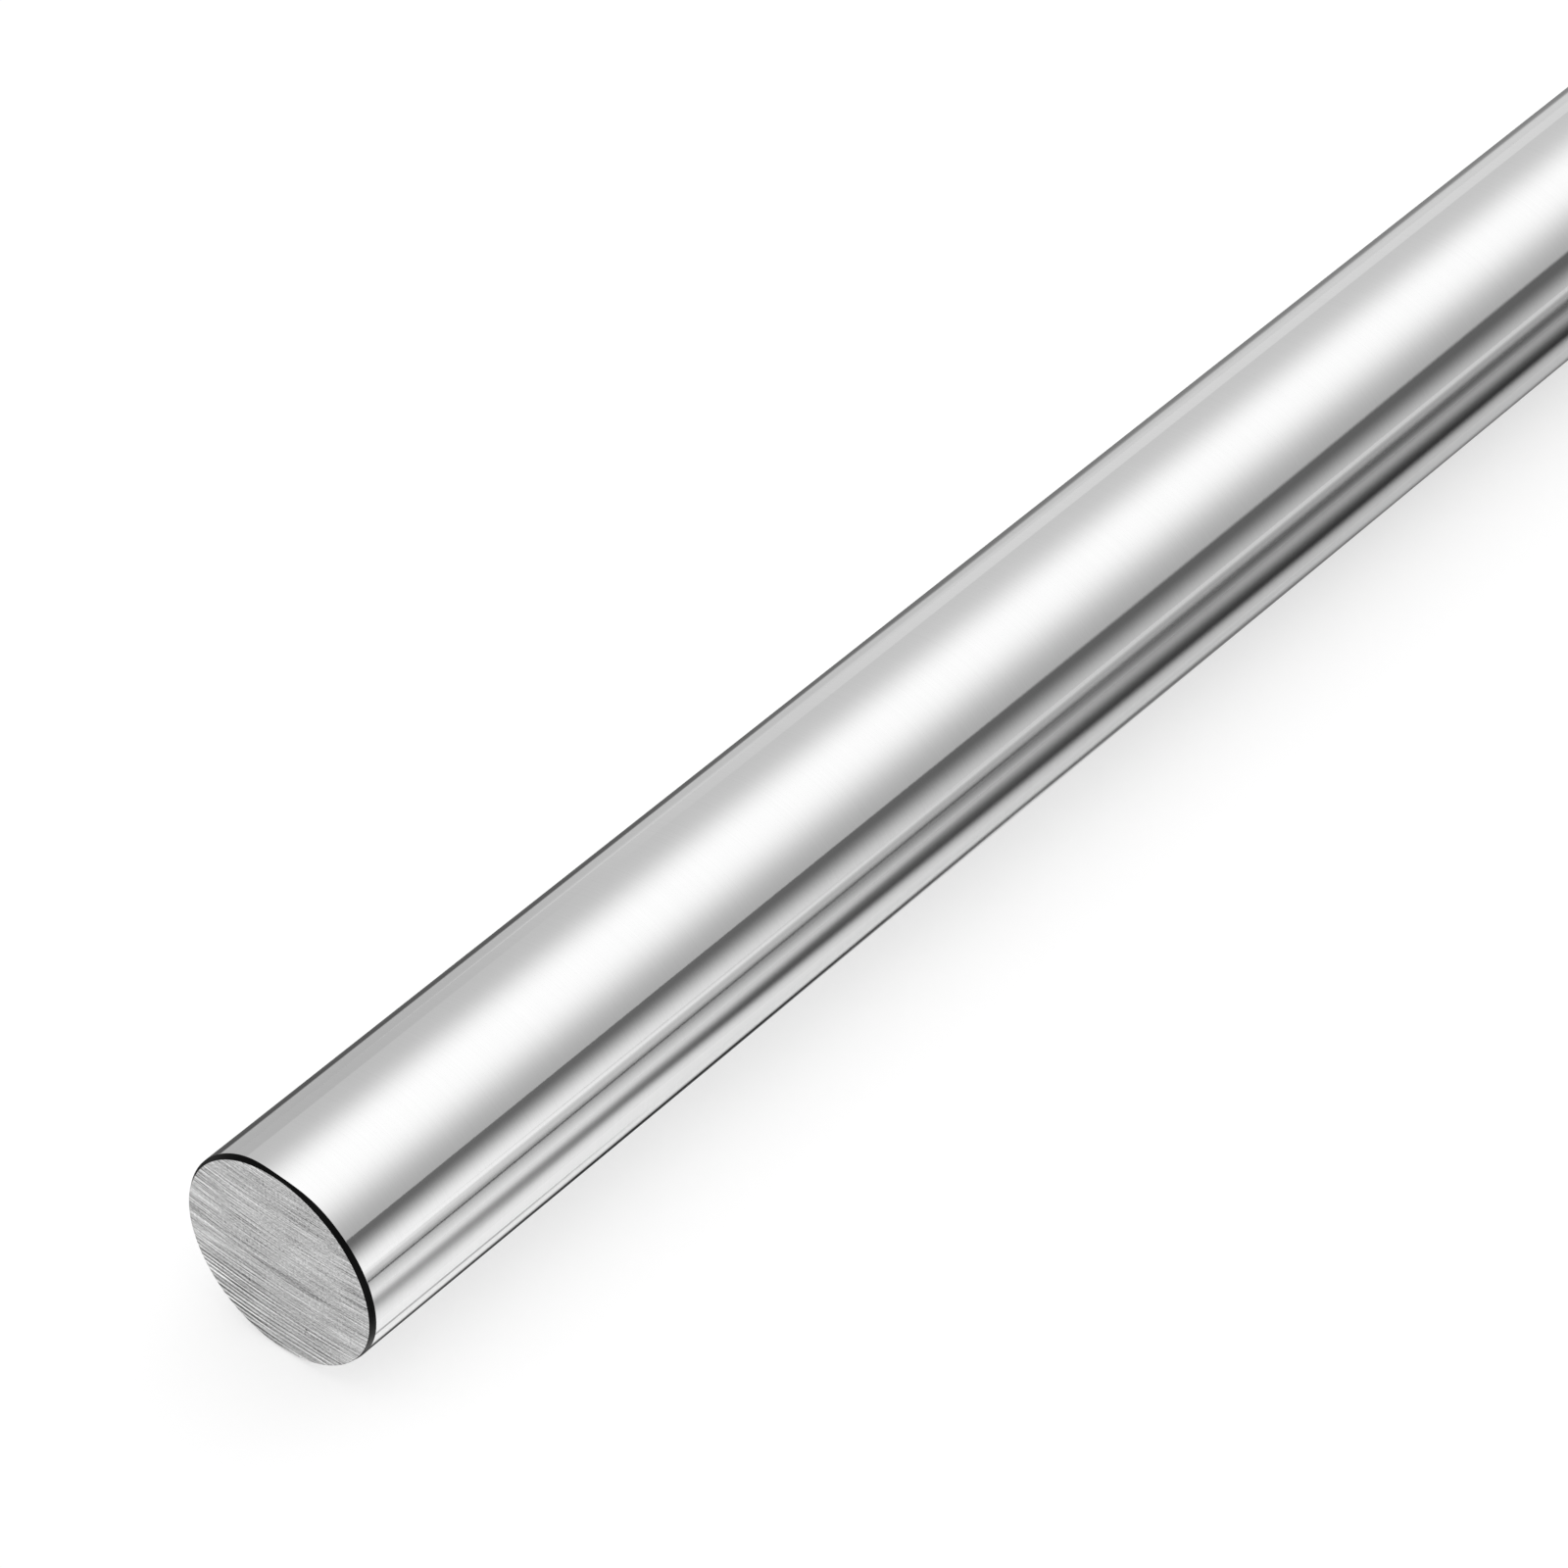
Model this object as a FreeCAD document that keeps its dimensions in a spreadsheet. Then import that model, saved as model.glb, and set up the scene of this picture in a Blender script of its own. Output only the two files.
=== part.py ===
import FreeCAD
import Part
import Sketcher

import math
import os

# A linear shaft: one round bar of bearing steel, induction hardened, ground to size all along and plated
# with hard chrome, then sawn to length. It guides ball bushings and is held near its ends by shaft supports.
# Both ends are square and broken by the same small chamfer, which leads the bar into a bushing.
#
# The bar lies along X, with the origin on its axis at half its length. Sizes are in millimetres and degrees.

SHEET = "Sizes"
SHAFT = "linear_shaft"
PARTS_FOLDER = "parts"

# Name, value and meaning of each size that can be set by itself.
DRIVING_SIZES = (
    ("shaft_diameter", 25.0, "over the ground chrome, where bushings and supports fit"),
    ("shaft_length", 300.0, "from one end face to the other"),
    ("chamfer_width", 0.5, "of each chamfer, along the shaft"),
    ("chamfer_angle", 45.0, "between a chamfer and the shaft's axis"),
)


def write_sheet(doc):
    """One row for each driving size: its name, its value under that name as alias, and what it is."""
    sheet = doc.addObject("Spreadsheet::Sheet", SHEET)
    for row, (name, value, meaning) in enumerate(DRIVING_SIZES, start=1):
        sheet.set(f"A{row}", name)
        sheet.set(f"B{row}", str(value))
        sheet.setAlias(f"B{row}", name)
        sheet.set(f"C{row}", meaning)
    doc.recompute()
    return sheet


def origin_plane(body, role):
    """The plane of the body's own origin that has this role."""
    return next(feature for feature in body.Origin.OriginFeatures if feature.Role == role)


def draw_half_section(body, sheet):
    """The outline of half the shaft's lengthwise section, from its axis out to the ground surface."""
    half_length = sheet.shaft_length / 2
    radius = sheet.shaft_diameter / 2
    chamfer_depth = sheet.chamfer_width * math.tan(math.radians(sheet.chamfer_angle))
    outline = (
        (-half_length, 0),
        (half_length, 0),
        (half_length, radius - chamfer_depth),
        (half_length - sheet.chamfer_width, radius),
        (sheet.chamfer_width - half_length, radius),
        (-half_length, radius - chamfer_depth),
    )
    axis_line, right_face, right_chamfer, ground_line, left_chamfer, left_face = range(len(outline))
    start_point, end_point = 1, 2
    origin_point = (-1, 1)

    sketch = body.newObject("Sketcher::SketchObject", "half_section")
    sketch.AttachmentSupport = (origin_plane(body, "XY_Plane"), [""])
    sketch.MapMode = "FlatFace"
    corners = [FreeCAD.Vector(x, y, 0) for x, y in outline]
    for corner, next_corner in zip(corners, corners[1:] + corners[:1]):
        sketch.addGeometry(Part.LineSegment(corner, next_corner), False)

    for line in range(len(outline)):
        next_line = (line + 1) % len(outline)
        joined = Sketcher.Constraint("Coincident", line, end_point, next_line, start_point)
        sketch.addConstraint(joined)
    sketch.addConstraint(Sketcher.Constraint("Horizontal", ground_line))
    sketch.addConstraint(Sketcher.Constraint("Vertical", right_face))
    sketch.addConstraint(Sketcher.Constraint("Vertical", left_face))
    centred = Sketcher.Constraint("Symmetric", axis_line, start_point, axis_line, end_point, *origin_point)
    sketch.addConstraint(centred)

    def bind(name, constraint, expression):
        """Adds a named dimension and ties it to the sheet."""
        index = sketch.addConstraint(constraint)
        sketch.renameConstraint(index, name)
        sketch.setExpression(f"Constraints.{name}", expression)

    bind(
        "length_along_axis",
        Sketcher.Constraint("DistanceX", axis_line, start_point, axis_line, end_point, sheet.shaft_length),
        f"{SHEET}.shaft_length",
    )
    bind(
        "ground_radius",
        Sketcher.Constraint("DistanceY", *origin_point, ground_line, start_point, radius),
        f"{SHEET}.shaft_diameter / 2",
    )
    # The outline runs up the right chamfer from the face and down the left one to the face.
    for side, chamfer, on_face, on_side in (
        ("right", right_chamfer, start_point, end_point),
        ("left", left_chamfer, end_point, start_point),
    ):
        bind(
            f"{side}_chamfer_depth",
            Sketcher.Constraint("DistanceY", chamfer, on_face, chamfer, on_side, chamfer_depth),
            f"{SHEET}.chamfer_width * tan({SHEET}.chamfer_angle)",
        )
        bind(
            f"{side}_chamfer_width",
            Sketcher.Constraint("DistanceX", chamfer, end_point, chamfer, start_point, sheet.chamfer_width),
            f"{SHEET}.chamfer_width",
        )
    return sketch


def turn_shaft(doc, sheet):
    """The whole bar, turned from its half section about its own axis."""
    body = doc.addObject("PartDesign::Body", SHAFT)
    body.Label = SHAFT
    sketch = draw_half_section(body, sheet)
    doc.recompute()
    turned = body.newObject("PartDesign::Revolution", "turned_bar")
    turned.Profile = sketch
    turned.ReferenceAxis = (sketch, ["H_Axis"])
    turned.Angle = 360
    body.Placement = FreeCAD.Placement()
    return body


def check(doc, bodies):
    """Stops if anything failed to build, before a file is written."""
    for item in doc.Objects:
        failed = {"Invalid", "Error"} & set(item.State)
        if failed:
            raise RuntimeError(f"{item.Label} is {', '.join(failed)}")
    for body in bodies:
        if body.Shape.isNull() or not body.Shape.isValid():
            raise RuntimeError(f"{body.Label} has no valid shape")


def main():
    doc = FreeCAD.newDocument("LinearShaft")
    sheet = write_sheet(doc)
    bodies = [turn_shaft(doc, sheet)]
    doc.recompute()
    check(doc, bodies)
    os.makedirs(PARTS_FOLDER, exist_ok=True)
    for body in bodies:
        body.Shape.exportStep(os.path.join(PARTS_FOLDER, f"{body.Label}.step"))
        print(f"{body.Label}: {len(body.Shape.Solids)} solid, {body.Shape.Volume:.1f} mm3")


main()
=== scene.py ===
# %% [markdown]
# # A linear shaft
#
# A linear shaft is a straight round bar of bearing steel that ball bushings run along. It is hardened,
# ground to size, plated with hard chrome and polished, and only then sawn to length. So it has two very
# different faces: a mirror round it, and bare sawn steel across its ends.
#
# The bar was drawn as a solid first, and that solid comes in here as a fixed frame. This script gives the
# bar the surface that the solid doesn't have: its finish, its saw marks and its worn edges. Lengths are in
# metres. The bar lies along X, its photographed end at -X, with the origin on its axis at half its length.

import bpy
import numpy as np
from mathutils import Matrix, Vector


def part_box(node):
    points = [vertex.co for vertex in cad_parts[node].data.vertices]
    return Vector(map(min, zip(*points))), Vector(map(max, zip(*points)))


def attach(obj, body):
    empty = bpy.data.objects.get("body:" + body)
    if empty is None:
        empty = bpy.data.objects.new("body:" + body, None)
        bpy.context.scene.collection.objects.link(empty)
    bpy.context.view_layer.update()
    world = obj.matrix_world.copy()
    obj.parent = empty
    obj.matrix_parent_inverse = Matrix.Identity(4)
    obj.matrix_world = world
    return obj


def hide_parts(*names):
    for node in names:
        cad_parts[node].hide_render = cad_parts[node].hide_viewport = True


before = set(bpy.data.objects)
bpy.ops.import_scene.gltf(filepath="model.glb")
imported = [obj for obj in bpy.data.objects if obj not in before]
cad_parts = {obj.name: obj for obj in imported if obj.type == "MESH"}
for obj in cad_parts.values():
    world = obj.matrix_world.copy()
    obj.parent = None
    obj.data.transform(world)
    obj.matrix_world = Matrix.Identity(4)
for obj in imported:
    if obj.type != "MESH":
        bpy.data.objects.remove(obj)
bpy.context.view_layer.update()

MM = 0.001
node_low, node_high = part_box("linear_shaft")
half_length = (node_high.x - node_low.x) / 2
radius = (node_high.y - node_low.y) / 2
print(f"the solid is {half_length * 2 / MM:.2f} mm long and {radius * 2 / MM:.3f} mm across")

# %% [markdown]
# ## The points round the shaft
#
# The ends carry saw marks, which are lines, so an end face is best divided into rows that run along them. A
# fan of triangles or a square grid cut to a circle would cross them. Each row here is a straight chord of
# the round face. Both ends of every chord lie on the rim, so the same points go on round the bar, and its
# side and its ends share their edge with no gap. Rows at equal angles would be too wide in the middle and
# far too thin at the top and bottom, so they are moved a little closer together half-way.

# %% Angles round the shaft, from the top towards -Y
CHORDS = 200
CROWDING = 0.6

share = np.linspace(0, 1, CHORDS + 1)
down_one_side = np.pi * share + CROWDING / 2 * np.sin(2 * np.pi * share)
ring_angles = np.concatenate([down_one_side, 2 * np.pi - down_one_side[-2:0:-1]])
AROUND = len(ring_angles)
widest = np.degrees(np.diff(down_one_side)).max()
print(f"{AROUND} points round the shaft, at most {widest:.2f} degrees apart")


def on_rings(x, from_axis):
    """Points on circles round the shaft's axis: y is minus from_axis times the sine of the ring angle, and
    z is from_axis times its cosine. x and from_axis hold a row for each ring, with one number for the whole
    ring or one for each angle."""
    y = -from_axis * np.sin(ring_angles)
    z = from_axis * np.cos(ring_angles)
    return np.stack([np.broadcast_to(x, y.shape), y, z], axis=-1)


# %% [markdown]
# ## The outline of an end
#
# Between the sawn face and the ground side there is a small chamfer, put on by holding the turning bar
# against a belt. Its two edges aren't knife sharp: each is broken over a tenth of a millimetre or so, and
# such an edge is what catches the light. A Bevel modifier would make it equally wide all round, but a
# chamfer made by hand isn't, so its outline is worked out afresh at each angle.
#
# The outline is a row of points from the face's rim to the ground side. Each point has a distance from the
# end and a depth below the ground side. Two points close together hold the flat parts flat, because Blender
# spreads the shading of a rounded edge as far as the next point.

# %% One end's outline
FACE_EDGE = 0.05 * MM
SIDE_EDGE = 0.08 * MM
HOLD = 0.03 * MM
EDGE_POINTS = 5


def towards(start, end, length):
    """The point at this length from start on the way to end."""
    way = end - start
    return start + length * way / np.linalg.norm(way, axis=-1, keepdims=True)


def broken_edge(before, corner, after, size):
    """A corner of the outline, rounded: a curve of the second degree that leaves the first side at this
    size from the corner, is drawn to the corner, and joins the other side at the same size from it."""
    first, last = towards(corner, before, size), towards(corner, after, size)
    q = np.linspace(0, 1, EDGE_POINTS)[:, None, None]
    return (1 - q) ** 2 * first + 2 * q * (1 - q) * corner + q**2 * last


def end_outline(depth, reach):
    """The outline at each ring angle, as distance from the end and depth below the side, for a chamfer that
    goes this deep on the face and reaches this far along the side."""
    none = 0 * depth
    on_face = np.stack([none, none + radius], axis=-1)
    face_corner = np.stack([none, depth], axis=-1)
    side_corner = np.stack([reach, none], axis=-1)
    on_side = np.stack([none + half_length, none], axis=-1)
    face_edge = broken_edge(on_face, face_corner, side_corner, FACE_EDGE)
    side_edge = broken_edge(face_corner, side_corner, on_side, SIDE_EDGE)
    return np.concatenate(
        [
            towards(face_edge[:1], on_face, HOLD),
            face_edge,
            towards(face_edge[-1:], side_corner, HOLD),
            towards(side_edge[:1], face_corner, HOLD),
            side_edge,
            towards(side_edge[-1:], on_side, HOLD),
        ]
    )


def hand_held(usual, *changes):
    """A size that wanders round the shaft, in millimetres: its usual value plus a bell curve for each place
    where the belt took more or less. Each change is its size, and the angle and half width of its place in
    degrees."""
    size = np.full(AROUND, usual)
    for change, place, half_width in changes:
        away = (np.degrees(ring_angles) - place + 180) % 360 - 180
        size += change * np.exp(-((away / half_width) ** 2))
    return size * MM


near_outline = end_outline(
    depth=hand_held(0.22, (0.26, 34, 50), (-0.17, 108, 22), (0.25, 262, 50)),
    reach=hand_held(0.64, (-0.40, 4, 18), (-0.18, 40, 28), (0.35, 115, 25)),
)
far_outline = end_outline(
    depth=hand_held(0.42, (0.13, 120, 60), (-0.12, 290, 40)),
    reach=hand_held(0.50, (-0.14, 60, 30), (0.12, 200, 50)),
)
OUTLINE_POINTS = len(near_outline)
print(f"an end's outline has {OUTLINE_POINTS} points")

# %% [markdown]
# ## The saw marks
#
# A bar this hard is cut with an abrasive wheel. The wheel's rim leaves long shallow grooves across the end,
# and because the wheel is round they are arcs about its centre. Bump in a material could fake them, but a
# mesh has them from every side and in every program. A groove is deepest on its own arc, fades to both
# sides of it as a bell curve, and fades out at its two ends. The face is the sum of some hundreds of them:
# fine ones all over, and coarse ones where the wheel broke through at the bottom of the bar.

# %% Grooves cut by a wheel
WHEEL_RADIUS = 110 * MM
WHEEL_STEP = 0.55 * MM
NEAR_LEAN, FAR_LEAN = 2.5, -4.0
FINE_GROOVES = 420


def draw_grooves(dice, number, heights, half_widths, lengths, depths):
    """Random grooves, a column each: height on the face, middle along it, half width, half length and
    depth."""
    return np.stack(
        [
            dice.uniform(*heights, number),
            dice.uniform(-radius, radius, number),
            dice.uniform(*half_widths, number),
            dice.uniform(*lengths, number) / 2,
            dice.uniform(*depths, number),
        ]
    )


def cut_depth(across, up, lean, grooves):
    """How deep the face is cut at each point (across, up): the sum over the grooves of the groove's depth,
    times a bell curve of the distance from its arc, times a flatter one of the place along it."""
    wheel_across = WHEEL_RADIUS * np.sin(np.radians(lean))
    wheel_up = WHEEL_RADIUS * np.cos(np.radians(lean))
    height = WHEEL_RADIUS - np.hypot(across - wheel_across, up - wheel_up)
    total = np.zeros(across.shape)
    for groove_height, middle, half_width, half_long, depth in grooves.T:
        aside = (height - groove_height) / half_width
        along = (across - middle) / half_long
        total += depth * np.exp(-(aside**2) - along**4)
    return total


def grooves_of_one_cut(seed):
    """Fine grooves all over the face, and coarse ones below its middle, which lie about a wheel's step
    apart and mostly to one side."""
    dice = np.random.default_rng(seed)
    fine = draw_grooves(
        dice,
        number=FINE_GROOVES,
        heights=(-radius, radius),
        half_widths=(0.06 * MM, 0.12 * MM),
        lengths=(2 * MM, 10 * MM),
        depths=(0.001 * MM, 0.005 * MM),
    )
    low_down = (-radius, -0.35 * radius)
    steps = np.arange(*low_down, WHEEL_STEP)
    coarse = draw_grooves(
        dice,
        number=len(steps),
        heights=low_down,
        half_widths=(0.12 * MM, 0.17 * MM),
        lengths=(12 * MM, 24 * MM),
        depths=(0.008 * MM, 0.020 * MM),
    )
    # The coarse grooves' first two rows are filled again: in steps up the face, and to one side.
    heights, middles = coarse[:2]
    heights[:] = steps + dice.normal(0, 0.12 * WHEEL_STEP, len(steps))
    middles[:] = dice.uniform(-0.7 * radius, 0, len(steps))
    return np.concatenate([fine, coarse], axis=1)


# %% [markdown]
# ## The mesh
#
# The whole bar is one closed surface, as the real one is one piece of steel. A cylinder with two discs
# would do from far away, but its parts would only touch. This surface is made of rings from one end to the
# other, and of the two sawn faces. A face is filled with rows of points between the two ends of each chord,
# and then pressed in by the depth of its grooves, which fade just before the rim.

# %% The rings from the near end to the far end
SIDE_STATIONS = 39
near_rings = on_rings(near_outline[..., 0] - half_length, radius - near_outline[..., 1])
far_rings = on_rings(half_length - far_outline[..., 0], radius - far_outline[..., 1])[::-1]
on_the_way = np.linspace(0, 1, SIDE_STATIONS + 2)[1:-1, None, None]
side_rings = near_rings[-1] + on_the_way * (far_rings[0] - near_rings[-1])
rings = np.concatenate([near_rings, side_rings, far_rings])
ring_count = len(rings)
print(f"{ring_count} rings")

# %% The sawn faces
ACROSS_FACE = 32
RIM_FADE = 0.25 * MM


def chord_ends(rim):
    """The +Y ends and the -Y ends of the chords, from the top down, out of the points of a rim."""
    return rim[2 * CHORDS - 1 : CHORDS : -1], rim[1:CHORDS]


def sawn_face(rim, inward, lean, seed):
    """The points inside a rim: on each chord, equal steps from its +Y end to its -Y end. They are moved
    inward, along X, by the depth of the cut there. Returns them with those depths, as a row for each
    chord."""
    plus_ends, minus_ends = chord_ends(rim)
    step = np.linspace(0, 1, ACROSS_FACE + 1)[None, 1:-1, None]
    points = plus_ends[:, None] + step * (minus_ends - plus_ends)[:, None]
    across, up = -inward * points[..., 1], points[..., 2]
    from_rim = np.hypot(rim[0, 1], rim[0, 2]) - np.hypot(across, up)
    depth = cut_depth(across, up, lean, grooves_of_one_cut(seed)) * np.clip(from_rim / RIM_FADE, 0, 1)
    points[..., 0] += inward * depth
    return points, depth


near_face, near_depth = sawn_face(rings[0], inward=1, lean=NEAR_LEAN, seed=4)
far_face, far_depth = sawn_face(rings[-1], inward=-1, lean=FAR_LEAN, seed=11)
print(f"the near face is cut up to {near_depth.max() / MM:.3f} mm deep")

# %% [markdown]
# ## Joining the points into faces
#
# Blender could close each end with one many-sided face, but that has no points inside, and the grooves need
# them. So every face is listed here by the numbers of its corners. The rings are joined by squares, which
# wrap round from the last angle to the first. Each sawn face is joined through a table of point numbers, a
# row for each chord, whose two outer columns are points of the rim. Its first and last rows are one rim
# point each, so they are joined by triangles. The order of a face's corners decides which way it looks, and
# here all look outwards.

# %% Point numbers
ring_numbers = np.arange(ring_count * AROUND).reshape(ring_count, AROUND)


def face_table(rim_numbers, first_number):
    """Point numbers of a sawn face: a row for each chord, with the rim's points at both ends of it."""
    table = np.empty((CHORDS + 1, ACROSS_FACE + 1), dtype=int)
    table[0], table[-1] = rim_numbers[0], rim_numbers[CHORDS]
    table[1:-1, 0], table[1:-1, -1] = chord_ends(rim_numbers)
    inside = (CHORDS - 1) * (ACROSS_FACE - 1)
    table[1:-1, 1:-1] = first_number + np.arange(inside).reshape(CHORDS - 1, ACROSS_FACE - 1)
    return table


def squares_of(table):
    """The four corners of every square between neighbouring rows and columns of a table."""
    corners = table[:-1, :-1], table[1:, :-1], table[1:, 1:], table[:-1, 1:]
    return np.stack(corners, axis=-1).reshape(-1, 4)


def triangles_of(table):
    """The triangles from the first row's point, and those to the last row's point."""
    first = np.stack([table[0, :-1], table[1, :-1], table[1, 1:]], axis=-1)
    last = np.stack([table[-2, :-1], table[-1, :-1], table[-2, 1:]], axis=-1)
    return np.concatenate([first, last])


near_table = face_table(ring_numbers[0], ring_numbers.size)
far_table = face_table(ring_numbers[-1], ring_numbers.size + near_depth.size)
wrapped = np.concatenate([ring_numbers, ring_numbers[:, :1]], axis=1)
side_squares = squares_of(wrapped)[:, [0, 3, 2, 1]]
near_squares, near_triangles = squares_of(near_table[1:-1]), triangles_of(near_table)
far_squares, far_triangles = squares_of(far_table[1:-1])[:, ::-1], triangles_of(far_table)[:, ::-1]
print(f"{len(side_squares)} squares on the side, {len(near_squares)} on each sawn face")

# %% The finish of each face: 0 is chrome, 1 is sawn steel and 2 is the chamfer
CHROME, STEEL, TURNED = 0, 1, 2
half_edge = EDGE_POINTS // 2
turned_strips = OUTLINE_POINTS - 1 - 2 * half_edge
end_finishes = [STEEL] * half_edge + [TURNED] * turned_strips + [CHROME] * half_edge
strip_finishes = end_finishes + [CHROME] * (SIDE_STATIONS + 1) + end_finishes[::-1]
sawn_count = len(near_squares) + len(near_triangles)
finishes = np.concatenate([np.repeat(strip_finishes, AROUND), np.full(2 * sawn_count, STEEL)])
print(f"{np.count_nonzero(finishes == TURNED)} faces of the two chamfers")

# %% The mesh itself
points = np.concatenate([rings.reshape(-1, 3), near_face.reshape(-1, 3), far_face.reshape(-1, 3)])
face_groups = side_squares, near_squares, near_triangles, far_squares, far_triangles
faces = [corners for group in face_groups for corners in group.tolist()]
mesh = bpy.data.meshes.new("hard_chromed_shaft")
mesh.from_pydata(points, [], faces)
mesh.polygons.foreach_set("material_index", finishes)
mesh.polygons.foreach_set("use_smooth", np.ones(len(finishes), dtype=bool))

cut = np.zeros(len(points))
cut[ring_numbers.size :] = np.concatenate([near_depth.ravel(), far_depth.ravel()])
mesh.attributes.new("cut_depth", "FLOAT", "POINT").data.foreach_set("value", cut / MM)
mesh.validate()
shaft = bpy.data.objects.new("hard_chromed_shaft", mesh)
bpy.context.scene.collection.objects.link(shaft)
print(f"{len(points)} points, {len(finishes)} faces")

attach(shaft, "root")
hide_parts("linear_shaft")

# %% [markdown]
# ## A flat map of the surface
#
# Other programs can't run Blender's shaders, so the finishes have to be baked for them: painted on a square
# picture that a map lays over the mesh. Blender can unwrap a mesh by itself, but it would give a long plain
# side nearly all of the picture. The finest marks are on the two ends, so here half of the picture is
# theirs. Each end is a disc with its chamfer pressed flat around it. The plain side is cut at half its
# length, and each half is rolled out as a strip. Its first and last columns meet at the picture's left and
# right edge, which hides the seam.

# %% The map
DISC_RADIUS = 0.235
DISC_HEIGHT = 0.245
NEAR_DISC, FAR_DISC = (0.25, DISC_HEIGHT), (0.75, DISC_HEIGHT)
STRIP_HEIGHT = 0.24
NEAR_STRIP, FAR_STRIP = 0.5, 0.755


def pressed_flat(end_rings):
    """y and z of the points of an end's rings, from the face's rim outwards, moved straight away from the
    axis until each is as far from it as the way to it along the surface: the rim's distance from the axis
    plus the steps from ring to ring."""
    steps = np.linalg.norm(np.diff(end_rings, axis=0), axis=-1)
    from_axis = np.linalg.norm(end_rings[..., 1:], axis=-1)
    along_surface = from_axis[0] + np.concatenate([0 * steps[:1], np.cumsum(steps, axis=0)])
    return end_rings[..., 1:] * (along_surface / from_axis)[..., None]


def disc_corners(flat_rings, rim, face_points, middle, facing):
    """Map places of the corners of an end's faces: the strips between its rings, then its squares and
    triangles. rim is the row of its rings that the sawn face begins at. facing is 1 or -1, so that both
    ends are drawn as they are seen from outside."""
    scale = DISC_RADIUS / np.linalg.norm(flat_rings, axis=-1).max()
    places = np.concatenate([flat_rings.reshape(-1, 2), face_points[..., 1:].reshape(-1, 2)])
    places = np.array(middle) + scale * places * (facing, 1)
    ring_table = np.arange(flat_rings[..., 0].size).reshape(flat_rings.shape[:2])
    round_table = np.concatenate([ring_table, ring_table[:, :1]], axis=1)
    across_table = face_table(ring_table[rim], ring_table.size)
    tables = squares_of(round_table), squares_of(across_table[1:-1]), triangles_of(across_table)
    return [places[corners] for corners in tables]


def strip_corners(strip_rings, low, from_x):
    """Map places of the corners of the squares between rings of the side: the share of the way round, and a
    height that grows with x from low."""
    u = np.append(ring_angles, 2 * np.pi) / (2 * np.pi)
    v = low + STRIP_HEIGHT * (strip_rings[..., 0] - from_x) / half_length
    v = np.concatenate([v, v[:, :1]], axis=1)
    return np.stack([squares_of(np.broadcast_to(u, v.shape)), squares_of(v)], axis=-1)


last_near, first_far, middle_ring = OUTLINE_POINTS - 1, ring_count - OUTLINE_POINTS, ring_count // 2
near_flat = pressed_flat(rings[: last_near + 1])
far_flat = pressed_flat(rings[: first_far - 1 : -1])[::-1]
near_round, near_across, near_tips = disc_corners(near_flat, 0, near_face, NEAR_DISC, facing=-1)
far_round, far_across, far_tips = disc_corners(far_flat, -1, far_face, FAR_DISC, facing=1)
near_strip = strip_corners(rings[last_near : middle_ring + 1], NEAR_STRIP, -half_length)
far_strip = strip_corners(rings[middle_ring : first_far + 1], FAR_STRIP, 0)
side_corners = np.concatenate([near_round, near_strip, far_strip, far_round])[:, [0, 3, 2, 1]]
groups = side_corners, near_across, near_tips, far_across[:, ::-1], far_tips[:, ::-1]
on_map = np.concatenate([group.reshape(-1, 2) for group in groups])
shaft_map = mesh.uv_layers.new(name="OFBake")
shaft_map.uv.foreach_set("vector", on_map.astype(np.float32).ravel())
print(f"the map reaches from {on_map.min():.3f} to {on_map.max():.3f}")

# %% [markdown]
# ## How a finish is written
#
# Blender's shaders are nodes joined by links. They are mostly drawn by hand in the shader editor, but a
# pattern is a formula, and it reads best as one. So a small class stands for a number that changes over a
# surface, and adding or multiplying such numbers makes the Math nodes. A second class makes all the other
# nodes, and holds the few curves that the finishes of this bar are made of.

# %% A number that changes over a surface
class Reading:
    """The output of a node. Arithmetic on it adds Math nodes to the same tree."""

    def __init__(self, tree, socket):
        self.tree = tree
        self.socket = socket

    def math(self, operation, *others):
        """One Math node: this operation on this number and the others."""
        values = dict(enumerate((self, *others)))
        return self.tree.node("ShaderNodeMath", {"operation": operation}, values, 0)

    def __add__(self, other):
        return self.math("ADD", other)

    def __sub__(self, other):
        return self.math("SUBTRACT", other)

    def __rsub__(self, other):
        return self.math("MULTIPLY_ADD", -1, other)

    def __mul__(self, other):
        return self.math("MULTIPLY", other)

    def __pow__(self, other):
        return self.math("POWER", other)

    __radd__ = __add__
    __rmul__ = __mul__


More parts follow.
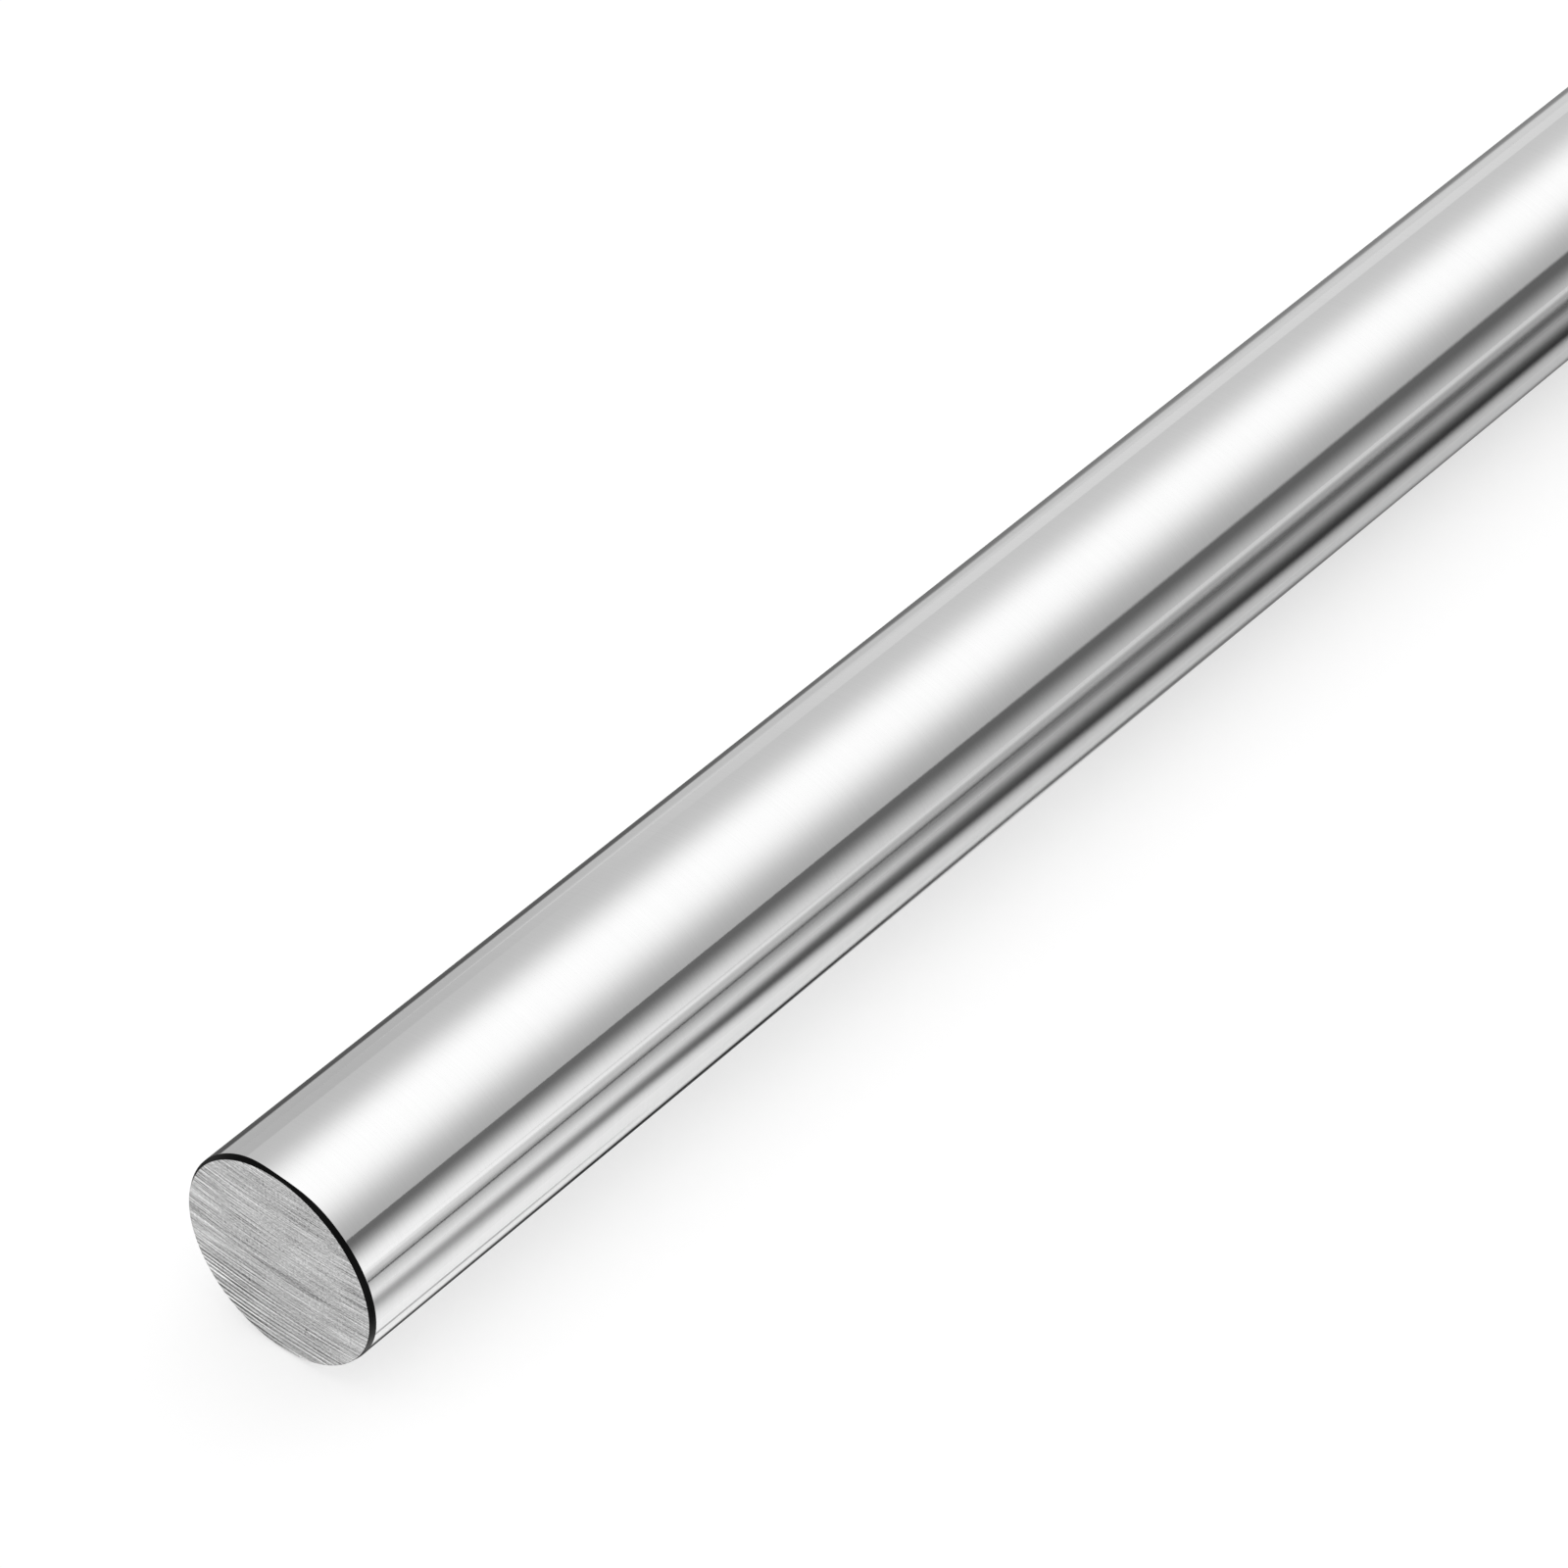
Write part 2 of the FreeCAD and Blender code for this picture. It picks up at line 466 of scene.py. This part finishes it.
# %% The tree that the nodes stand in
class Tree:
    """The nodes of one material or of the world."""

    def __init__(self, owner):
        owner.use_nodes = True
        self.nodes = owner.node_tree.nodes
        self.links = owner.node_tree.links
        self.nodes.clear()

    def node(self, kind, settings=None, values=None, output=None):
        """Adds a node, sets its settings first and then its sockets. With output, returns that output."""
        made = self.nodes.new(kind)
        for name, value in (settings or {}).items():
            setattr(made, name, value)
        for name, value in (values or {}).items():
            if isinstance(value, Reading):
                self.links.new(value.socket, made.inputs[name])
            else:
                made.inputs[name].default_value = value
        return made if output is None else Reading(self, made.outputs[output])

    def parts(self, vector):
        """The three numbers of a vector."""
        split = self.node("ShaderNodeSeparateXYZ", values={0: vector})
        return [Reading(self, split.outputs[axis]) for axis in range(3)]

    def place(self):
        """x, y and z of the point being shaded, in the piece's own coordinates."""
        return self.parts(self.node("ShaderNodeTexCoord", output="Object"))

    def vector(self, *parts):
        """A vector of three numbers."""
        return self.node("ShaderNodeCombineXYZ", values=dict(enumerate(parts)), output=0)

    def noise(self, parts, detail=2.0, roughness=0.5):
        """Soft random numbers about 0.5, one cycle for each 1 that a part grows by."""
        values = {"Vector": self.vector(*parts), "Scale": 1.0, "Detail": detail, "Roughness": roughness}
        return self.node("ShaderNodeTexNoise", {"normalize": True}, values, "Fac")

    def between(self, reading, low, high, to_low=0.0, to_high=1.0, kind="SMOOTHSTEP"):
        """to_low below low, to_high above high, and a smooth change from one to the other between them."""
        values = {"Value": reading, "From Min": low, "From Max": high, "To Min": to_low, "To Max": to_high}
        return self.node("ShaderNodeMapRange", {"interpolation_type": kind}, values, "Result")

    def bell(self, reading, middle, half_width, power=2.0):
        """A bell curve: e to the power of minus the distance in half widths, itself raised to a power. The
        higher that power, the flatter its top and the steeper its sides."""
        distance = ((reading - middle) * (1 / half_width)).math("ABSOLUTE")
        return (distance**power * -1.0).math("EXPONENT")

    def mix(self, share, first, second):
        """first where share is 0, second where it is 1, and in proportion between them."""
        return self.between(share, 0.0, 1.0, first, second, kind="LINEAR")

    def grey(self, level):
        """A grey of this level."""
        return self.node("ShaderNodeCombineColor", values={0: level, 1: level, 2: level}, output=0)

    def bump(self, height, distance):
        """A normal that leans as if the surface stood out by height times distance."""
        return self.node("ShaderNodeBump", values={"Height": height, "Distance": distance}, output="Normal")

    def finish(self, kind, shader):
        """Ends the tree in this shader."""
        self.links.new(shader.socket, self.node(kind).inputs["Surface"])


# %% A metal
def metal(name, build):
    """A metal's material. build takes its tree and returns values for the sockets of its metal shader."""
    material = bpy.data.materials.new(name)
    tree = Tree(material)
    values = {"Metallic": 1.0, **build(tree)}
    shader = tree.node("ShaderNodeBsdfPrincipled", values=values, output="BSDF")
    tree.finish("ShaderNodeOutputMaterial", shader)
    print(f"{name}: {len(tree.nodes)} nodes")
    return material


# %% [markdown]
# ## Hard chrome
#
# Hard chrome is a mirror with a trace of the grinding left in it: very fine lines round the bar, a little
# haze that comes and goes along it, and the faintest orange peel. Such lines are far too fine for a mesh,
# and a metal with no pattern at all would look too clean, so they are noise in the shader. It is squeezed
# to tenths of a millimetre along X and left long in the other two directions, which turns its grains into
# lines that run round the bar.

# %% The chrome's shader
def hard_chrome(tree):
    """Noise of three shapes: lines round the bar change its grey, haze its roughness and peel its slope."""
    x, y, z = tree.place()
    lines_round = tree.noise((x * 7000, y * 40, z * 40), detail=3, roughness=0.6)
    haze = tree.noise((x * 300, y * 60, z * 60), detail=3)
    peel = tree.noise((x * 2200, y * 2200, z * 2200), detail=2)
    return {
        "Base Color": tree.grey(0.775 + (lines_round - 0.5) * 0.06),
        "Roughness": 0.035 + haze * 0.03,
        "Normal": tree.bump(peel, 0.001 * MM),
    }


chrome = metal("hard_chrome_ground_and_polished", hard_chrome)

# %% [markdown]
# ## Sawn steel
#
# The ends are bare steel. The grooves in the mesh give the light and shade of the larger marks, and the
# colour is also painted darker where they are deeper, as painted shade in the grooves. The rest are too
# fine for a mesh. A noise stretched straight across the face would look brushed, not sawn, so it is
# stretched along the wheel's arcs, by the same height that the grooves are cut at. There are ridges a
# wheel's step apart at the bottom, where the wheel broke through, whose light and shade are painted into
# the colour as light and dark bands, scores and fine lines all over, which are stronger towards the rim and
# on one side, and a grain of torn metal. The middle is calmer, but for one dark streak where the wheel
# rubbed and left its soot. The photographed face also has two bright scratches, and two small pits whose
# shade is painted dark.

# %% Where a point lies under the wheel
CHANGE_OVER = 1 * MM


def under_the_wheel(tree):
    """Four readings. far is 0 on the near face and 1 on the far one, and changes over at the bar's middle,
    where no steel shows. across and up are the place on a face, seen from outside. height is the wheel's
    radius less the distance from the wheel's centre, so it stays the same along an arc, as in cut_depth."""
    x, y, up = tree.place()
    far = tree.between(x, -CHANGE_OVER, CHANGE_OVER)
    lean = np.radians(NEAR_LEAN) + far * np.radians(FAR_LEAN - NEAR_LEAN)
    across = y * (far * 2 - 1)
    from_wheel_across = across - WHEEL_RADIUS * lean.math("SINE")
    from_wheel_up = up - WHEEL_RADIUS * lean.math("COSINE")
    height = WHEEL_RADIUS - (from_wheel_across**2 + from_wheel_up**2) ** 0.5
    return far, across, up, height


# %% Scratches, and the painted shade of pits
SCRATCH_HALF_WIDTH = 0.004 * radius


def scratch(tree, across, up, height, slope, start, full):
    """A straight scratch: a narrow bell curve about the line that rises by slope from height, which fades
    in from start to full on its way across. height, start and full are shares of the radius."""
    line = tree.bell(up - across * slope, height * radius, SCRATCH_HALF_WIDTH)
    return line * tree.between(across, start * radius, full * radius)


def pit_shade(tree, across, up, middle, half_size):
    """The painted shade of a small pit with steep sides, which the mesh doesn't have: a flat bell curve
    across times another one up, in millimetres.
    """
    pit_across = tree.bell(across, middle[0] * MM, half_size[0] * MM, power=4)
    return pit_across * tree.bell(up, middle[1] * MM, half_size[1] * MM, power=4)


# %% The sawn steel's shader
STEEL_GREY = 0.445
DARKEST = 0.02


def sawn_steel(tree):
    """The steel's grey times 1 plus all its marks. Each mark is a pattern times the strength that it has
    there, and dark ones are subtracted."""
    far, across, up, height = under_the_wheel(tree)
    rim = tree.between(across.math("ABSOLUTE"), 0.3 * radius, 0.95 * radius)
    low = tree.between(height, -0.15 * radius, -0.75 * radius)
    left = tree.between(across, 0.3 * radius, -0.8 * radius)

    sway = tree.noise((across * 70, height * 300, far * 3), detail=1)
    # The ridges' light and shade is painted: light and dark bands a wheel's step apart in the colour.
    painted_ridge_shading = (height * (2 * np.pi / WHEEL_STEP) + sway * 6).math("SINE")
    scores = tree.noise((across * 60, height * 4000, far * 5), detail=2) - 0.5
    lines = tree.noise((across * 140, height * 6500, far * 7), detail=2, roughness=0.7) - 0.5
    grain = tree.noise((across * 3500, height * 6500, far * 9), detail=1) - 0.5
    stains = tree.noise((across * 60, height * 220, far * 11)) - 0.5
    marks = (
        painted_ridge_shading * low * (0.3 + left * 0.5)
        + scores * (0.9 + rim * 0.5 + low * 0.6)
        + lines * (2.4 + rim * 0.9 + low * 1.0 + left * 1.2)
        + grain * 1.6
        + stains * 0.2
    )

    soot = tree.bell(height, -0.11 * radius, 0.035 * radius)
    soot = soot * tree.bell(across, 0.03 * radius, 0.55 * radius, power=4)
    shade = tree.bell(height, 0.66 * radius, 0.1 * radius, power=4)
    shade = shade * tree.bell(across, 0.1 * radius, 0.6 * radius)
    # The depth of the cut, read from the mesh. Below it paints shade into the grooves: the deeper, the
    # darker.
    depth_for_groove_shade = tree.node("ShaderNodeAttribute", {"attribute_name": "cut_depth"}, output="Fac")

    near = 1 - far
    left_scratch = scratch(tree, across, up, height=0.50, slope=-0.14, start=-0.02, full=-0.2)
    right_scratch = scratch(tree, across, up, height=0.70, slope=-0.105, start=-0.1, full=0.1)
    scratches = (left_scratch + right_scratch) * near
    # The two pits are painted dark: painted shade, with no pit in the mesh.
    low_pit_shade = pit_shade(tree, across, up, middle=(3.46, -7.3), half_size=(0.14, 0.14))
    middle_pit_shade = pit_shade(tree, across, up, middle=(-4.1, 0.5), half_size=(0.1, 0.16))
    pit_shades = (low_pit_shade + middle_pit_shade) * near

    # dark holds the soot streak, the darker patch near the top, and the painted shade in the grooves.
    dark = soot * (0.4 + scores) + shade * 0.14 + depth_for_groove_shade * 10.0
    level = STEEL_GREY * (1 + marks + scratches * 0.5 - dark)
    return {
        "Base Color": tree.grey((level * (1 - pit_shades * 0.9)).math("MAXIMUM", DARKEST)),
        "Roughness": 0.36 + stains * 0.1,
        "Normal": tree.bump(scores * (0.5 + low), 0.006 * MM),
    }


steel = metal("sawn_bearing_steel", sawn_steel)

# %% [markdown]
# ## The chamfer's finish
#
# The belt took the corner off. The chamfer's colour is painted nearly black, a painted dark reflection of
# what it mirrors. Black paint would make it look like a rubber ring, so it is a metal too, with a very dark
# colour and a tint that holds back the glare that every metal has at a glancing angle. Noise squeezed along
# X leaves the belt's marks, which run round.

# %% The chamfer's shader
def turned_chamfer(tree):
    """One noise, drawn out into rings round the bar, changes the grey, the roughness and the slope. The
    grey itself is nearly black, a painted dark reflection.
    """
    x, y, z = tree.place()
    rings_round = tree.noise((x * 20000, y * 300, z * 300), detail=3)
    return {
        # The near-black grey is a painted dark reflection, and the tint holds back the glare that would
        # lighten it. The noise is the belt's marks.
        "Base Color": tree.grey(0.002 + rings_round * 0.01),
        "Roughness": 0.3 + rings_round * 0.1,
        "Specular Tint": (0.75, 0.75, 0.75, 1),
        "Normal": tree.bump(rings_round, 0.002 * MM),
    }


chamfer = metal("chamfer_painted_dark", turned_chamfer)
for material in (chrome, steel, chamfer):
    mesh.materials.append(material)

# %% [markdown]
# ## The floor
#
# The bar lies on a plain white floor. White paint under strong lamps would do, but such lamps would bleach
# the bar. So the floor gives off most of its white by itself, and only the rest is light that falls on it,
# which keeps the bar's soft shadow.
#
# Chrome mirrors the floor as well, and about half of what it shows is floor. What it mirrors needn't be
# what the camera sees, because Light Path tells the two kinds of ray apart. So the floor has a second
# light, for mirrors alone. In front of the bar it is bright near the photographed end and fades along the
# bar. Behind the bar it is dim. The floor lies a hair under the bar, so that they share no surface.

# %% The floor's mesh
FLOOR_HALF = 12.0
UNDER_BAR = 0.02 * MM
floor_height = -radius - UNDER_BAR


def stage_piece(name, points, faces):
    """A piece of the stage, which isn't part of the object."""
    sheet = bpy.data.meshes.new(name)
    sheet.from_pydata(points, [], faces)
    piece = bpy.data.objects.new(name, sheet)
    bpy.context.scene.collection.objects.link(piece)
    print(f"{name}: {len(faces)} faces")
    return piece


floor_corners = [
    (-FLOOR_HALF, -FLOOR_HALF, floor_height),
    (FLOOR_HALF, -FLOOR_HALF, floor_height),
    (FLOOR_HALF, FLOOR_HALF, floor_height),
    (-FLOOR_HALF, FLOOR_HALF, floor_height),
]
floor = stage_piece("floor", floor_corners, [(0, 1, 2, 3)])

# %% The floor's shader
FLOOR_PAINT = (0.45, 0.45, 0.45, 1)
WHITE_BY_ITSELF = 0.62


def light_for_mirrors(tree):
    """The light that the floor gives to mirrors. In front of the bar it falls from 0.74 to 0.33 in a
    direction between +X and +Y. Behind the bar it rises from 0.11 to 0.22 in a direction between +X and -Y,
    with as much as 0.11 more far along the bar."""
    x, y, _ = tree.place()
    in_front = tree.between(x + y * 0.59, -0.18, 0.03, 0.74, 0.33)
    leaning = x - y * 0.6
    far_along = tree.between(x, 0.03, 0.2) * tree.between(leaning, -0.12, -0.02)
    behind = tree.between(leaning, -0.15, -0.05, 0.11, 0.22) + far_along * 0.11
    is_behind = tree.between(y, -1 * MM, 1 * MM) * tree.between(x, -151 * MM, -149 * MM)
    return tree.mix(is_behind, in_front, behind)


floor_finish = bpy.data.materials.new("white_floor")
tree = Tree(floor_finish)
path = tree.node("ShaderNodeLightPath")
camera_ray = Reading(tree, path.outputs["Is Camera Ray"])
clear_ray = Reading(tree, path.outputs["Is Transmission Ray"])
glossy_ray = Reading(tree, path.outputs["Is Glossy Ray"])
strength = camera_ray.math("MAXIMUM", clear_ray) * WHITE_BY_ITSELF + glossy_ray * light_for_mirrors(tree)
paint = tree.node("ShaderNodeBsdfDiffuse", values={"Color": FLOOR_PAINT}, output="BSDF")
glow = tree.node("ShaderNodeEmission", values={"Strength": strength}, output="Emission")
lit_paint = tree.node("ShaderNodeAddShader", values={0: paint, 1: glow}, output=0)
tree.finish("ShaderNodeOutputMaterial", lit_paint)
floor.data.materials.append(floor_finish)
print(f"{floor_finish.name}: {len(tree.nodes)} nodes")

# %% [markdown]
# ## The light
#
# A mirror looks like what stands round it, so the bar gets its look here. Lamps could be hung one by one,
# but the world's light can be written as one formula, and a mirror shows it without noise.
#
# Over the bar hangs a long soft light, brightest in its middle. It ends in a straight edge on the camera's
# side. Behind that edge the room is dark, which gives the bar its crisp dark line, and grows light again
# towards the floor. On the other side there is a plain wall.
#
# The light in each direction depends on two numbers. One is the turn round the bar, in degrees: 0 is
# straight up, and it grows towards the camera's side. The other is how far the direction leans along the
# bar, because the bar mirrors directions that lean more the farther away it is, and the real studio changes
# a little that way.

# %% The world
LIGHT_MIDDLE = -1.0
LIGHT_EDGE, EDGE_BLUR = 59.3, 0.6
DARK_FROM, DARK_TO = 63.0, 89.5
WALL_EDGE, WALL_BLUR = -74.0, 1.5


def studio_light(tree):
    """The light from each direction: the wall, then the soft light, which is a slope plus a bell curve, and
    past the light's edge the dark, which grows light again."""
    leaning, dy, dz = tree.parts(tree.node("ShaderNodeTexCoord", output="Generated"))
    turn = (0 - dy).math("ARCTAN2", dz) * (180 / np.pi)
    farther = tree.between(leaning, 0.5, 0.62)

    def along(near, far):
        """near where the bar is near, far where it is far away, and in proportion between them."""
        return near + (far - near) * farther

    near_hump = tree.bell(turn, LIGHT_MIDDLE, 38.5, power=3.0) * 0.70 * (1 - farther)
    far_hump = tree.bell(turn, LIGHT_MIDDLE, 36.5, power=2.5) * 0.65 * farther
    slope = tree.between(turn, -60, 57, along(0.64, 0.70), 0.50, kind="LINEAR")
    soft_light = slope + near_hump + far_hump

    later = tree.between(leaning, 0.53, 0.64) * 4.2
    dark = along(0.17, 0.145) + along(0.95, 0.50) * tree.between(turn - later, DARK_FROM, DARK_TO)
    edge = LIGHT_EDGE - 1.8 * tree.between(leaning, 0.63, 0.68)
    past_edge = (turn - edge) * along(1.0, 0.15)
    light = tree.between(past_edge, 0, EDGE_BLUR, soft_light, dark)
    return tree.between(turn, WALL_EDGE, WALL_EDGE + WALL_BLUR, along(0.55, 0.82), light)


world = bpy.data.worlds.new("studio")
bpy.context.scene.world = world
tree = Tree(world)
camera_ray = tree.node("ShaderNodeLightPath", output="Is Camera Ray")
level = tree.mix(camera_ray, studio_light(tree), 1.0)
background = tree.node("ShaderNodeBackground", values={0: tree.grey(level)}, output=0)
tree.finish("ShaderNodeOutputWorld", background)
print(f"{world.name}: {len(tree.nodes)} nodes")

# %% [markdown]
# ## The flags
#
# Photographers call a black card a flag. Flags lie beside the bar, run along it, and are seen only in its
# chrome, where they make the dark lines that give a round bar its shape. The lines could be painted on the
# bar, but then they would stay where they are when the bar is seen from elsewhere, and a mirror's lines
# don't.
#
# The edges of a real flag are blurred by the chrome and by the light, so a flag here is cloth that thins
# out from its middle line to both sides. Each flag is a strip of a few rows of points, because the lines on
# the bar drift and fade along it. Each is lifted a little more than the one before, so that no two lie in
# the same plane.

# %% Black cloth
def black_cloth(power):
    """Cloth that thins out from a flag's middle line: it hides strength times the bell curve of this
    power."""
    material = bpy.data.materials.new("black_cloth")
    tree = Tree(material)
    across, strength, _ = tree.parts(tree.node("ShaderNodeUVMap", {"uv_map": "cloth"}, output="UV"))
    hidden = strength * tree.bell(across, 0, 1, power)
    open_weave = tree.node("ShaderNodeBsdfTransparent", output="BSDF")
    black = tree.node("ShaderNodeEmission", values={"Strength": 0.0}, output="Emission")
    mixed = tree.node("ShaderNodeMixShader", values={0: hidden, 1: open_weave, 2: black}, output=0)
    tree.finish("ShaderNodeOutputMaterial", mixed)
    return material


# %% A flag
FAR_END = 600
REACH = 1.8


def lay_flag(name, *rows, lift, power):
    """A flag as a strip along the bar, lifted off the floor by lift. Each row is one place along it: x and
    y of its middle line, how far it fades towards the bar and how far away from it, all in millimetres, and
    its strength. Its map holds, for each point, the distance from the middle line in fades, and the
    strength. The last row goes on as it is to the far end."""
    rows = [*rows, (FAR_END, *rows[-1][1:])]
    x, y, fade_in, fade_out, strength = np.array(rows, dtype=float).T
    outward = np.sign(y)
    sides = np.stack([y - outward * REACH * fade_in, y, y + outward * REACH * fade_out], axis=-1) * MM
    heights = np.full(sides.shape, floor_height + lift * MM)
    points = np.stack([np.broadcast_to(x[:, None] * MM, sides.shape), sides, heights], axis=-1)
    faces = squares_of(np.arange(sides.size).reshape(sides.shape))
    piece = stage_piece(name, points.reshape(-1, 3), faces.tolist())

    across = np.broadcast_to([-REACH, 0, REACH], sides.shape)
    on_map = np.stack([across, np.broadcast_to(strength[:, None], sides.shape)], axis=-1).reshape(-1, 2)
    cloth = piece.data.uv_layers.new(name="cloth")
    cloth.uv.foreach_set("vector", on_map[faces.ravel()].astype(np.float32).ravel())
    piece.data.materials.append(black_cloth(power))
    for ray in ("camera", "diffuse", "shadow", "transmission", "volume_scatter"):
        setattr(piece, f"visible_{ray}", False)


# %% The flags, from the far side of the bar to its foot on the camera's side
# The dark line along the bar's far edge.
lay_flag(
    "flag_behind",
    (-152, 50, 36, 12, 0.80),
    (-60, 50, 36, 13, 0.80),
    (-10, 42, 30, 18, 0.70),
    (40, 36, 26, 34, 0.62),
    lift=0.04,
    power=4.0,
)

# A broad dimness where the floor begins.
lay_flag(
    "broad_flag",
    (-152, -80, 16, 90, 0.38),
    (-50, -85, 16, 90, 0.39),
    (20, -90, 16, 140, 0.44),
    lift=0.06,
    power=2.5,
)

# The soft band beside it, which grows darker along the bar.
lay_flag(
    "middle_flag",
    (-152, -66, 28, 18, 0.33),
    (-40, -70, 34, 26, 0.65),
    (40, -64, 27, 26, 0.80),
    lift=0.08,
    power=2.5,
)

# A thin line inside that band, which ends half-way along the bar.
lay_flag(
    "thin_flag",
    (-152, -74, 4, 3, 0.80),
    (-94, -74, 4, 3, 0.80),
    (-60, -77.5, 4, 3, 0.62),
    (-30, -78, 4, 4, 0.35),
    (0, -78, 4, 4, 0.35),
    (20, -77, 4, 4, 0),
    lift=0.10,
    power=2.5,
)

# The strong dark line along the side that faces the camera.
lay_flag(
    "near_flag",
    (-152, -29.5, 6.8, 6, 0.50),
    (-100, -27.1, 4.6, 6.5, 0.75),
    (-80, -25.6, 4.5, 7.5, 0.87),
    (20, -22.2, 4.1, 12, 0.93),
    (80, -22.9, 4.1, 12, 0.93),
    lift=0.12,
    power=2.0,
)

# The line at the bar's foot.
lay_flag(
    "flag_at_the_foot",
    (-152, -8.7, 1.9, 1.0, 0.92),
    (-110, -9.3, 2.0, 1.3, 1.00),
    (-75, -10.1, 1.4, 1.2, 0.97),
    (-40, -10.4, 1, 1.4, 0.75),
    (30, -8, 4, 2.2, 0.60),
    lift=0.14,
    power=2.5,
)

# A hair-thin line beside it, at the photographed end alone.
lay_flag(
    "short_thin_flag",
    (-152, -13.3, 0.4, 0.4, 0.60),
    (-125, -13.3, 0.4, 0.4, 0.55),
    (-100, -13.4, 0.4, 0.4, 0),
    lift=0.16,
    power=2.5,
)

# %% [markdown]
# ## The camera
#
# The photograph looks down on the bar's near end from the -Y side, through a long lens, so the sides of the
# bar draw together only a little. A camera can be turned by three angles, but a direction is easier to read
# and to change. to_track_quat makes the turn that brings the camera's -Z, along which it looks, to that
# direction, with its Y upwards. The place, the direction and the lens are those at which the bar's outline
# falls where the photograph has it.

# %% The camera
camera_data = bpy.data.cameras.new("camera")
camera_data.lens = 166.07
camera_data.clip_start = 0.01
camera = bpy.data.objects.new("camera", camera_data)
bpy.context.scene.collection.objects.link(camera)
camera.location = (-0.5092, -0.3638, 0.5129)
view_direction = Vector((0.57674, 0.47878, -0.66192))
camera.rotation_euler = view_direction.to_track_quat("-Z", "Y").to_euler()
bpy.context.scene.camera = camera
print(f"the camera is {camera.location.length:.3f} m from the middle of the bar")

# %% [markdown]
# ## The end
#
# The Standard view shows a colour as it is written.

# %% The view
bpy.context.scene.view_settings.view_transform = "Standard"
